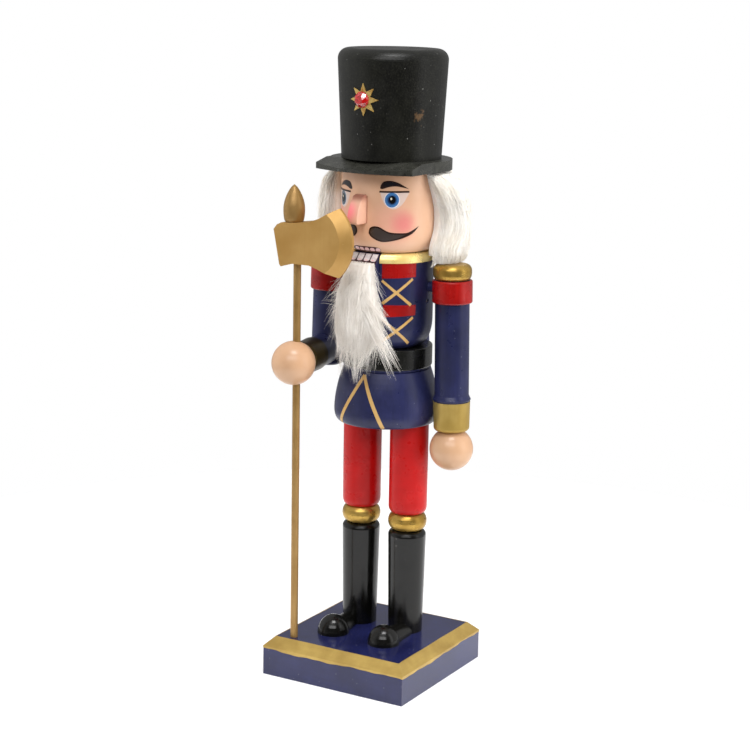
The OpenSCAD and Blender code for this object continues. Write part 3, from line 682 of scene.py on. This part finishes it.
def carve_nose():
    """The glued-on wedge nose, its edges rounded over."""
    turn = Matrix.Rotation(-HEAD_TURN, 4, "Z")
    mesh = bmesh.new()
    rings = []
    for x in (NOSE_MIDDLE - NOSE_HALF, NOSE_MIDDLE + NOSE_HALF):
        rings.append([mesh.verts.new(turn @ Vector((x, -HEAD_R - out, up))) for out, up in NOSE_SIDE])
    mesh.faces.new(rings[0])
    mesh.faces.new(rings[1][::-1])
    for i in range(len(NOSE_SIDE)):
        j = (i + 1) % len(NOSE_SIDE)
        mesh.faces.new((rings[0][j], rings[0][i], rings[1][i], rings[1][j]))
    bmesh.ops.recalc_face_normals(mesh, faces=mesh.faces)
    rounded = [e for e in mesh.edges if e.calc_face_angle(0) > 0.6]
    bmesh.ops.bevel(mesh, geom=rounded, offset=0.95, segments=4, profile=0.5, affect="EDGES",
                    clamp_overlap=True)
    bmesh.ops.triangulate(mesh, faces=[f for f in mesh.faces if len(f.verts) > 4])
    bmesh.ops.translate(mesh, verts=mesh.verts, vec=(0, AXIS_Y, 0))
    points = [v.co.copy() for v in mesh.verts]
    faces = [[v.index for v in f.verts] for f in mesh.faces]
    mesh.free()
    nose = new_mesh("carved_nose", points, faces, NOSE_SKIN, "figure", 50)
    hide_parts("nose")
    seam = NOSE_MIDDLE + NOSE_HALF + 0.32
    line = stroke((seam, 220.9), (seam, 233.7), 0.28)
    film("nose_joint_line", line, FACE, SEAM_BROWN, "figure", 0.06, 0.8)


def nose_rouge_and_shadow(f, tone):
    """Rouge down the ridge and its far side, and a brown shadow where the nose meets the brow."""
    tip = on_face(-3.4, 226.0, HEAD_R + 6.0)
    mask = f.span(f.distance(tip), 0.0072, 0.0012, 0, 1.0, smooth=True)
    tone = f.blend(mask, tone, ink(244, 128, 136))
    # painted shadow in brown over the top of the nose, below the brow
    top = f.span(f.height(), 0.2300, 0.2336, 0, 0.8, smooth=True)
    return f.blend(top, tone, ink(150, 88, 72))


SEAM_BROWN = painted("seam_brown", ink(176, 104, 84), ink(150, 84, 66), 0.4, depth=0.01)
NOSE_SKIN = painted("nose_skin", ink(224, 176, 150), ink(216, 164, 138), 0.33, depth=0.012, streak=0.1,
                    coat=0.1, extra=nose_rouge_and_shadow)


# ---------- jaw ----------

JAW_LIP = 4.3       # height of the 45 degree slope along the top of the jaw's front
LOWER_TEETH = 4


def paint_jaw():
    """Lower teeth on the jaw's sloping lip, dark lines between them and a red scalloped edge below."""
    wide = JAW_HALF
    slope = math.sqrt(2) * JAW_LIP
    face = flat_wall((JAW_MIDDLE, JAW_LOW.y, JAW_HIGH.z - JAW_LIP), (1, 0, 0), (0, 1, 1))
    gum = [(-wide + 0.05, 0.1), (wide - 0.05, 0.1), (wide - 0.05, slope - 0.1), (-wide + 0.05, slope - 0.1)]
    film("jaw_gum", [Vector(p) for p in gum], face, LIP_RED, "jaw", 0.03, 1.5)
    pitch = 2 * wide / LOWER_TEETH
    line = 0.38     # half the dark line between two teeth
    top = slope - 0.35
    for i in range(LOWER_TEETH):
        left = -wide + i * pitch
        right = left + pitch
        tooth = [(left + line, top), (left + line, top), (left + line, 2.5), (left + 1.0, 1.5),
                 (right - 1.0, 1.5), (right - line, 2.5), (right - line, top), (right - line, top)]
        film(f"lower_tooth_{i + 1}", curve_through(tooth), face, TOOTH, "jaw", 0.3, 0.6, 0.1)
        root = ellipse((left + pitch / 2, 2.0), pitch / 2 - 0.85, 0.4, 16)
        film(f"lower_gum_{i + 1}", root, face, UPPER_TOOTH, "jaw", 0.34, 0.5, 0.1)
    front = flat_wall((JAW_MIDDLE, JAW_LOW.y, 0), (1, 0, 0), (0, 0, 1))
    edge = JAW_HIGH.z - JAW_LIP
    band = [(-wide, edge - 2.4), (wide, edge - 2.4), (wide, edge), (-wide, edge)]
    film("jaw_lip", [Vector(p) for p in band], front, CREAM, "jaw", 0.05, 1.5)


# ---------- coat trim ----------

def turned_trim(node, radius):
    """The wall of a turned node, and a function from an angle round it and a height to a point on it."""
    wall = TurnedWall(node, radius)

    def at(angle, up):
        return Vector((math.radians(angle) * radius, up))
    return wall, at


def paint_chest():
    """Red patches and crossed gold lines on each side of the beard."""
    wall, at = turned_trim("chest", CHEST_R)
    top = corners("collar")[0].z - 0.05
    for side, inner in ((1, 21), (-1, 26)):     # inner: the edge of the jaw's slot, in degrees from the front
        word = word_for(side)
        patches = {"upper": ((inner, 195.4), (66, 195.8), (66, top), (inner, top)),
                   "lower": ((inner + 2.5, 177.2), (66.3, 177.7), (66.7, 182.6), (inner + 2, 182.9))}
        for level, patch in patches.items():
            outline = [at(side * a, z) for a, z in patch][::side]
            film(f"red_patch_{level}_{word}", outline, wall, RED, "figure", 0.06, 1.1)
        crosses = {"upper": (((inner, 194.4), (59.3, 182.6)), ((61.3, 195.0), (inner + 1, 183.6))),
                   "lower": (((inner, 176.4), (60.3, 164.0)), ((62.6, 176.8), (inner + 1, 165.4)))}
        for level, lines in crosses.items():
            for i, (a, b) in enumerate(lines):
                outline = stroke(at(side * a[0], a[1]), at(side * b[0], b[1]), 1.2, 1.4)
                film(f"gold_cross_{level}_{word}_{i + 1}", outline, wall, LINE_GOLD, "figure",
                     0.1 + 0.05 * i, 0.9)


def paint_skirt():
    """A gold chevron that opens downwards from the belt."""
    wall, at = turned_trim("coat_skirt", SKIRT_R)
    for word, foot in (("right", (-31.5, 124.4)), ("left", (26.3, 124.2))):
        outline = stroke(at(0.3, 148.8), at(*foot), 1.7, 1.9)
        film(f"gold_chevron_{word}", outline, wall, LINE_GOLD, "figure", 0.1, 0.9)


# ---------- plinth border ----------

PLINTH_SLOPE = 4.4      # width and height of the sloped edge


def gild_plinth():
    """Gold on the sloped edge, which runs down onto the sides in an uneven line."""
    half, top, slope = PLINTH_HIGH.x, PLINTH_HIGH.z, PLINTH_SLOPE
    lift = 0.09     # how far the gold stands off the wood
    per_side = 46
    rows = []
    rng = np.random.default_rng(4)
    phases = rng.uniform(0, 2 * math.pi, 6)
    for k in range(4 * per_side):
        quarter, t = divmod(k, per_side)
        s = 2 * t / per_side - 1
        along = 8 * (k / (4 * per_side)) * math.pi
        run = 1.15 + 0.35 * math.sin(1.0 * along + phases[0]) + 0.22 * math.sin(3.5 * along + phases[1])
        run += 0.12 * math.sin(9 * along + phases[2])
        creep = 0.12 * math.sin(2.3 * along + phases[3])
        foot = top - slope - run
        section = [(half - slope - 0.35 + creep, top - 0.2), (half - slope - 0.3 + creep, top + lift),
                   (half - slope + 0.05, top + lift), (half - slope / 2 + 0.06, top - slope / 2 + 0.06),
                   (half + lift, top - slope + 0.03), (half + lift, foot), (half - 0.2, foot)]
        spin = Matrix.Rotation(quarter * math.pi / 2, 3, "Z")
        rows.append([spin @ Vector((out * s, -out, up)) for out, up in section])
    count = len(rows[0])
    points = [p for row in rows for p in row]
    faces = []
    for k in range(len(rows)):
        a, b = k * count, ((k + 1) % len(rows)) * count
        for i in range(count):
            j = (i + 1) % count
            faces.append((a + i, b + i, b + j, a + j))
    new_mesh("plinth_gilding", points, faces, BORDER_GOLD, "figure", 30)


# ---------- hat stone ----------

def cut_stone():
    """A round stone with a table, eight main facets and a ring of small ones."""
    low, high = corners("hat_gem")
    middle = (low + high) / 2
    radius = (high.x - low.x) / 2
    deep = high.y - low.y
    sides = 8
    # how far up the stone, how wide, and a turn in facets: base, girdle, crown and table
    rings = [(0.0, 1.0, 0.0), (0.28, 1.0, 0.0), (0.62, 0.86, 0.5), (1.0, 0.52, 0.0)]
    points, faces = [], []
    for part, size, twist in rings:
        for i in range(2 * sides if part < 0.5 else sides):
            step = math.pi / sides if part < 0.5 else 2 * math.pi / sides
            turn = (i + twist) * step
            out = radius * size
            points.append(Vector((out * math.cos(turn), -deep * part, out * math.sin(turn))))
    n = 2 * sides
    base, girdle, crown, table = 0, n, 2 * n, 2 * n + sides
    faces.append(tuple(range(n)))
    faces += [(base + i, girdle + i, girdle + (i + 1) % n, base + (i + 1) % n) for i in range(n)]
    for i in range(sides):
        j = (i + 1) % sides
        faces.append((girdle + 2 * i, crown + i, girdle + 2 * i + 1))
        faces.append((girdle + 2 * i + 1, crown + i, girdle + (2 * i + 2) % n))
        faces.append((girdle + (2 * i + 2) % n, crown + i, table + j, crown + j))
        faces.append((crown + i, table + i, table + j))
    faces.append(tuple(table + i for i in range(sides))[::-1])
    turn = Matrix.Rotation(-HEAD_TURN, 3, "Z")
    points = [turn @ p + Vector((middle.x, high.y, middle.z)) for p in points]
    stone = new_mesh("hat_stone", points, faces, GEM, "figure", 1)
    work = bmesh.new()
    work.from_mesh(stone.data)
    bmesh.ops.recalc_face_normals(work, faces=work.faces)
    work.to_mesh(stone.data)
    work.free()
    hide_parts("hat_gem")


# ---------- fur ----------

def unit(vectors):
    return vectors / np.linalg.norm(vectors, axis=-1, keepdims=True)


def strands(name, paths, widths, outward, material, rng, body=None):
    """Every strand as a thin ribbon with a keel, its flat side outwards but for a little roll.

    paths and outward are strands x points x 3, widths is strands x points."""
    along = unit(np.gradient(paths, axis=1))
    aside = unit(np.cross(along, outward))
    over = np.cross(aside, along)
    roll = rng.normal(0, 0.35, (paths.shape[0], 1, 1))
    aside, over = aside * np.cos(roll) + over * np.sin(roll), over * np.cos(roll) - aside * np.sin(roll)
    half = widths[:, :, None]
    section = np.stack([paths + aside * half, paths - aside * half, paths - over * half * 0.7], 2)
    points = section.reshape(-1, 3)
    index = np.arange(len(points)).reshape(paths.shape[0], paths.shape[1], 3)
    a, d = index[:, :-1], index[:, 1:]
    quads = np.stack([a, np.roll(a, -1, 2), np.roll(d, -1, 2), d], -1).reshape(-1, 4)
    caps = np.concatenate([index[:, 0, ::-1], index[:, -1]])
    return new_mesh(name, points.tolist(), quads.tolist() + caps.tolist(), material, body, 35)


def bezier(p0, p1, p2, p3, count):
    """Cubic curves, one for each row of the four arrays of points."""
    t = np.linspace(0, 1, count)[None, :, None]
    p0, p1, p2, p3 = (p[:, None, :] for p in (p0, p1, p2, p3))
    return (1 - t) ** 3 * p0 + 3 * (1 - t) ** 2 * t * p1 + 3 * (1 - t) * t ** 2 * p2 + t ** 3 * p3


# how far the fur stands out of the head, and its height, from brim to neck
HAIR_PROFILE = [(0.4, 244.2), (6.2, 243.2), (11.0, 238.5), (13.2, 230), (14.2, 221), (13.8, 212), (13.2, 206),
                (11.6, 201.6), (3.0, 200.2)]
# height, and how far round from the front the fur begins there, in degrees
HAIR_EDGE = [(200, 82), (205, 79.5), (209, 78.5), (213, 82), (217, 87), (222, 88.5), (228, 86.5), (234, 81),
             (239, 75.5), (244, 72)]
OVER_ARM_X = 20         # the left arm can come under the fur from here outwards
FRINGE_TOP = 208        # strands that end below this over the left arm: the short ones are kept apart, the long ones lifted
FRINGE_ANCHOR = 220     # those of them rooted below this are the short ones
FRINGE_LIFT = 205.4     # just above the sweep of the epaulette's rim


def smoothed(values, at):
    """Values at equal steps from 0 to 1, rounded off and read at other places."""
    steps, width = 60, 9        # fine steps over the whole, and how many of them are averaged
    fine = np.linspace(0, 1, steps)
    line = np.interp(fine, np.linspace(0, 1, len(values)), values)
    kernel = np.hanning(width) / np.hanning(width).sum()
    reach = width // 2
    padded = np.concatenate([2 * line[0] - line[reach:0:-1], line, 2 * line[-1] - line[-2:-2 - reach:-1]])
    return np.interp(at, fine, np.convolve(padded, kernel, "valid"))


def hair_surface(round_part, v, depth=1.0):
    """Points of the hair: round_part from 0 at the left edge to 1 at the right, v from brim to neck,
    and depth 1 on its outside."""
    up = smoothed([p[1] for p in HAIR_PROFILE], v)
    out = smoothed([p[0] for p in HAIR_PROFILE], v)
    edge = np.interp(up, *zip(*HAIR_EDGE))
    right_edge = 66 + 0.3 * (edge - 72)     # the fur comes further forward on the figure's right
    angle = edge + (360 - edge - right_edge) * round_part
    turn = np.minimum(angle, 360 - angle)
    side = np.interp(turn, [66, 72, 80, 92, 122, 150, 180], [0.85, 0.98, 1.0, 1.02, 1.06, 1.04, 1.06])
    up = up - 1.6 * np.clip((turn - 108) / 20, 0, 1) * v ** 6
    radians = np.radians(angle)
    radius = HEAD_R + out * side * depth
    return np.stack([radius * np.sin(radians), AXIS_Y - radius * np.cos(radians), up], -1)


def closed_shell(name, outer, inner, material, body):
    """A soft core between two grids of points, closed along its four edges."""
    rows, cols = outer.shape[:2]
    points = np.concatenate([outer.reshape(-1, 3), inner.reshape(-1, 3)]).tolist()

    def at(i, j, layer=0):
        return i * cols + j + layer * rows * cols
    faces = []
    for i in range(rows - 1):
        for j in range(cols - 1):
            faces.append((at(i, j), at(i, j + 1), at(i + 1, j + 1), at(i + 1, j)))
            faces.append((at(i, j, 1), at(i + 1, j, 1), at(i + 1, j + 1, 1), at(i, j + 1, 1)))
        for j, flip in ((0, 1), (cols - 1, -1)):
            faces.append((at(i, j), at(i + 1, j), at(i + 1, j, 1), at(i, j, 1))[::flip])
    for j in range(cols - 1):
        for i, flip in ((0, -1), (rows - 1, 1)):
            faces.append((at(i, j), at(i, j + 1), at(i, j + 1, 1), at(i, j, 1))[::flip])
    return new_mesh(name, points, faces, material, body, 180)


def grow_hair():
    """Plush glued round the head: a soft core, and strands that lie over each other down to the neck."""
    rng = np.random.default_rng(11)
    grid_s, grid_v = np.meshgrid(np.linspace(0.01, 0.99, 60), np.linspace(0.02, 0.97, 26), indexing="ij")
    from_edge = np.minimum(grid_s, 1 - grid_s)
    lumps = 0.008 * np.sin(grid_s * 41 + 3 * grid_v) + 0.006 * np.sin(grid_s * 97 + 2) * np.sin(grid_v * 5)
    depth = 0.25 + 0.71 * np.clip(from_edge / 0.06, 0, 1) ** 0.5 + lumps
    outer, inner = hair_surface(grid_s, grid_v, depth), hair_surface(grid_s, grid_v, 0.02)
    for layer in (outer, inner):
        x, y, up = layer[:, :, 0], layer[:, :, 1], layer[:, :, 2]
        over_arm = (x > OVER_ARM_X) & (y < 26)
        layer[:, :, 2] = np.where(over_arm, np.maximum(up, FRINGE_LIFT + 0.02 * up - 4), up)
    core = closed_shell("hair_core", outer, inner, HAIR_FUR, "figure")
    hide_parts("hair")

    count = 9000
    place = rng.random(count)
    edge_share = int(count * 0.22)      # more strands where the fur begins beside the face
    place[:edge_share] = 0.055 * rng.random(edge_share) ** 1.3
    place[edge_share // 2:edge_share] = 1 - place[edge_share // 2:edge_share]
    from_edge = np.minimum(place, 1 - place)
    full = 0.25 + 0.75 * np.clip(from_edge / 0.06, 0, 1) ** 0.5
    depth = full * rng.uniform(0.93, 1.03, count)
    start = rng.uniform(-0.03, 0.86, count)
    length = rng.uniform(0.14, 0.32, count)
    steps = 7
    t = np.linspace(0, 1, steps)[None, :]
    drift = rng.normal(0, 0.012, count)[:, None]
    wave = rng.normal(0, 0.006, count)[:, None] * np.sin(t * 3.0 + rng.uniform(0, 6, count)[:, None])
    around = np.clip(place[:, None] + drift * t + wave, 0.001, 0.999)
    v = np.clip(start[:, None] + length[:, None] * t, 0, 1.0)
    lifted = depth[:, None] - 0.08 * (1 - t) ** 2 + rng.uniform(0, 0.05, count)[:, None] * t ** 2
    paths = hair_surface(around, v, lifted)
    outward = paths * np.array([1, 1, 0]) - np.array([0, AXIS_Y, 0])
    widths = rng.uniform(0.08, 0.17, count)[:, None] * (1 - 0.85 * t ** 2)
    # of the strands that end over the left epaulette, the short ones become a fringe of their own and the
    # long ones are lifted above its rim
    tips = paths[:, -1]
    above_arm = (tips[:, 0] > OVER_ARM_X) & (tips[:, 1] < 28) & (tips[:, 2] < FRINGE_TOP)
    short = paths[:, 0, 2] < FRINGE_ANCHOR
    fringe = above_arm & short
    long_ones = above_arm & ~short
    paths[long_ones, :, 2] = np.maximum(paths[long_ones, :, 2], FRINGE_LIFT)
    # and at rest nothing reaches into the epaulette
    pad_low, pad_high = corners("epaulette_left")
    pad = (pad_low + pad_high) / 2
    off_pad = np.hypot(paths[:, :, 0] - pad.x, paths[:, :, 1] - pad.y)
    on_pad = off_pad < (pad_high.x - pad_low.x) / 2 + 0.4
    paths[:, :, 2] = np.where(on_pad, np.maximum(paths[:, :, 2], pad_high.z + 0.15), paths[:, :, 2])
    strands("hair_strands", paths[~fringe], widths[~fringe], outward[~fringe], HAIR_FUR, rng, "figure")
    loose_ends = strands("hair_fringe_left", paths[fringe], widths[fringe], outward[fringe], HAIR_FUR, rng,
                         "figure")
    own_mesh(loose_ends)


# height, middle, half width and how far the beard stands out in front of the jaw
BEARD_SHAPE = [(144, -0.8, 7.5, 6.5), (152, -0.8, 10.0, 7.5), (160, -0.8, 11.4, 8.2), (170, -1.2, 11.8, 8.2),
               (187, -2.6, 10.4, 6.6), (197, -1.7, 8.0, 4.4), (204, -1.1, 6.6, 2.2)]
BEARD_STRAIGHT = 171    # below this height the strands begin to gather into locks
# where the beard's locks end: across and up
BEARD_LOCKS = [(-12.0, 154), (-9.8, 147), (-5.6, 151), (-1.4, 144.8), (2.6, 151), (6.6, 149), (11.4, 148.5),
               (16.0, 150), (19.4, 153), (21.4, 158.5)]
# locks that sweep across to the figure's left, then wisps that stray to its right:
# where each starts and ends, across and up, how many strands it has, and how far they spread
BEARD_SWEEPS = [
    ((-3, 193), (20.6, 153), 52, 1.6), ((-1, 188), (22.6, 158.6), 44, 1.6), ((3, 186), (13.4, 166), 36, 1.4),
    ((1, 184), (17.5, 158), 30, 1.8), ((-1, 191), (22.0, 171.5), 26, 0.5), ((4, 182), (25.5, 154), 16, 1.2),
    ((-4, 189), (-20, 182.5), 6, 0.6), ((-4, 188), (-15.5, 172), 14, 1.8), ((-3, 184), (-14.5, 162), 14, 1.8),
]


def beard_place(side, up, depth):
    """Points of the beard: side from -1 to 1 across it, depth 1 on its outside."""
    heights, middles, halves, fronts = zip(*BEARD_SHAPE)
    middle, half, front = (np.interp(up, heights, k) for k in (middles, halves, fronts))
    round_off = np.sqrt(np.clip(1 - 0.92 * side ** 2, 0.02, 1))
    return np.stack([middle + side * half, JAW_LOW.y - 0.3 - front * depth * round_off, up + 0 * side], -1)


def beard_core():
    """The dense heart of the beard, glued to the front of the jaw."""
    side, part = np.meshgrid(np.linspace(-0.84, 0.8, 30), np.linspace(0, 1, 24), indexing="ij")
    up = 202.0 - part * (31 - 8 * side ** 2)
    depth = 0.78 - 0.5 * part ** 5 + 0.05 * np.sin(side * 19 + part * 4)
    depth = depth * np.clip((1 - part) * 6 + 0.2, 0, 1)
    outer = beard_place(side, up, depth)
    inner = beard_place(side, up, 0.0)
    core = closed_shell("beard_core", outer, inner, BEARD_FUR, None)
    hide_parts("beard")
    return core


def ease(t):
    """0 up to t = 0, 1 from t = 1, and a smooth step between them."""
    t = np.clip(t, 0, 1)
    return t * t * (3 - 2 * t)


def across_beard(rng, count, t):
    """Strands that fall from the whole front of the jaw; the long ones gather into locks."""
    lock_x, lock_z = (np.array(k, float) for k in zip(*BEARD_LOCKS))
    side = rng.uniform(-1, 1, count)
    root_z = 177 + 26 * rng.random(count) ** 0.8
    fuzz = rng.random(count) < 0.3          # short hair that keeps the upper beard soft
    loose = rng.random(count) < 0.12        # strands that stay out of the locks
    aim = 7.6 * side - 4 + rng.normal(0, 2.6, count)
    lock = np.abs(aim[:, None] - lock_x[None, :]).argmin(1)
    # most strands end well above the point of their lock, so that the points are thin
    gap = np.where(rng.random(count) < 0.93, rng.normal(18.5, 3.8, count), rng.gamma(1.5, 3.5, count))
    tip_z = np.minimum(lock_z[lock] + gap, root_z - rng.uniform(8, 16, count))
    tip_z = np.where(fuzz, root_z - rng.uniform(5, 15, count), tip_z)
    up = root_z[:, None] + (tip_z - root_z)[:, None] * t
    gather = ease((BEARD_STRAIGHT - up) / (BEARD_STRAIGHT - lock_z[lock])[:, None])
    gather *= np.where(loose, 0.55, 0.92)[:, None]
    depth = rng.uniform(0.6, 1.05, count)
    curl = rng.normal(0, 1, (count, 1))
    curl = curl * np.sin(rng.uniform(3, 9, (count, 1)) * t + rng.uniform(0, 6, (count, 1)))
    stray = rng.normal(0, 0.1, (count, 1)) + np.where(fuzz, rng.normal(0, 0.3, count), 0)[:, None]
    across = side[:, None] + 0.09 * curl * t + stray * t
    lift = rng.normal(0.02, 0.06, (count, 1)) + 0.12 * fuzz[:, None]
    fall = beard_place(across, up, depth[:, None] * (1 - 0.3 * gather) + lift * t)
    spread = (rng.normal(0, 1, count) * np.where(loose, 2.4, 0.7))[:, None]
    swing = lock_x[lock][:, None] + 0.9 * curl * t + spread * t
    fall[:, :, 0] += (swing - fall[:, :, 0]) * gather
    root_x = JAW_MIDDLE + side * (JAW_HALF - 0.3)
    root = np.stack([root_x, np.full(count, JAW_LOW.y), root_z], -1)[:, None, :]
    leave = ease(t * (root_z - tip_z)[:, None] / 8)[:, :, None]
    return root * (1 - leave) + fall * leave, rng.uniform(0.06, 0.13, count)


def beard_sweep(rng, sweep, steps):
    """One lock of BEARD_SWEEPS: strands that bow out from the jaw and over the chest."""
    (from_x, from_z), (to_x, to_z), many, spread = sweep
    start_x = from_x + rng.normal(0, 1.6, many)
    start_z = from_z + rng.normal(0, 3, many)
    start = np.stack([start_x, np.full(many, JAW_LOW.y), start_z], -1)
    part = rng.random(many) ** 0.5
    scatter = rng.normal(0, 1, (many, 3)) * spread * np.array([0.7, 0.6, 1.3])
    finish = np.array([to_x, JAW_LOW.y - 6.5, to_z]) + scatter
    finish = start + (finish - start) * (0.62 + 0.38 * part)[:, None]
    reach = 0.1 * (finish - start)
    bow = start + np.stack([reach[:, 0], -7.0 - rng.uniform(0, 2.5, many), reach[:, 2]], -1)
    near = start * 0.35 + finish * 0.65 + np.array([0, -2.4, 2.0])
    return bezier(start, bow, near, finish, steps), rng.uniform(0.06, 0.12, many)


def grow_beard():
    """Long plush on the jaw that falls over the chest and parts into loose points."""
    rng = np.random.default_rng(23)
    steps = 9
    t = np.linspace(0, 1, steps)[None, :]
    tufts = [across_beard(rng, 7500, t)]
    tufts += [beard_sweep(rng, sweep, steps) for sweep in BEARD_SWEEPS]
    paths = np.concatenate([places for places, _ in tufts])
    widths = np.concatenate([thick[:, None] * (1 - 0.85 * t ** 2) for _, thick in tufts])
    outward = np.stack([0.05 * paths[:, :, 0], -np.ones(paths.shape[:2]), 0.1 + 0 * paths[:, :, 2]], -1)
    hairs = strands("beard_strands", paths, widths, outward, BEARD_FUR, rng)
    for piece in (beard_core(), hairs):
        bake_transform(piece)


# ---------- build ----------

add_camera()
add_studio()
dress_cad()
paint_face()
carve_nose()
paint_jaw()
paint_chest()
paint_skirt()
gild_plinth()
cut_stone()
grow_hair()
grow_beard()
